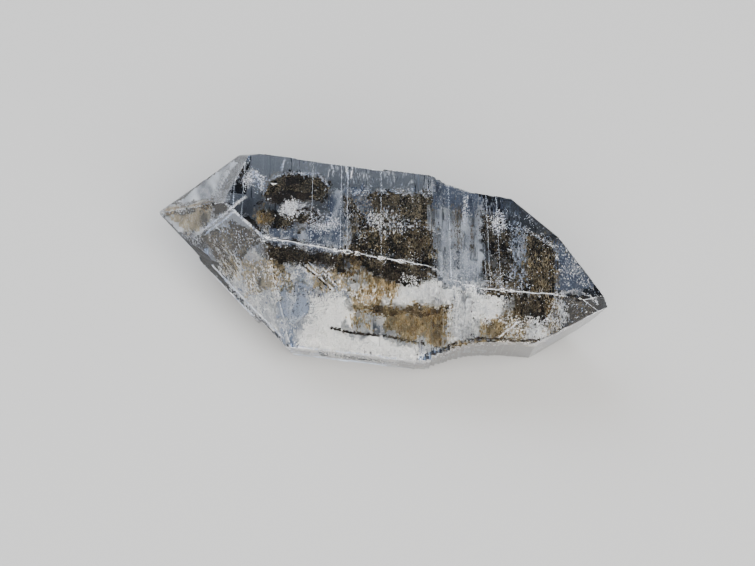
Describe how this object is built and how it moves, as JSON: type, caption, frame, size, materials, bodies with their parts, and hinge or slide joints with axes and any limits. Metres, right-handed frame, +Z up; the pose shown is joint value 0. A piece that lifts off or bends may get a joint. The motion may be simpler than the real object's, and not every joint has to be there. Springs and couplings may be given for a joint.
{
  "type": "petroleum quartz crystal",
  "caption": "Loose doubly terminated quartz crystal with a stepped waist, clear with oil and bitumen inclusions, lying on a flat prism face.",
  "frame": {"origin": "centre of the crystal's box, on the surface that it rests on", "axes": "+X along the crystal's long axis toward the smaller, blunter tip, +Z up, front at -Y"},
  "size_m": [0.0244, 0.011, 0.0077],
  "materials": {
    "clear_quartz": "clear natural crystal faces with growth steps, frosted on the worn edges"
  },
  "bodies": {
    "root": {"quartz_crystal": "clear_quartz"}
  },
  "joints": []
}
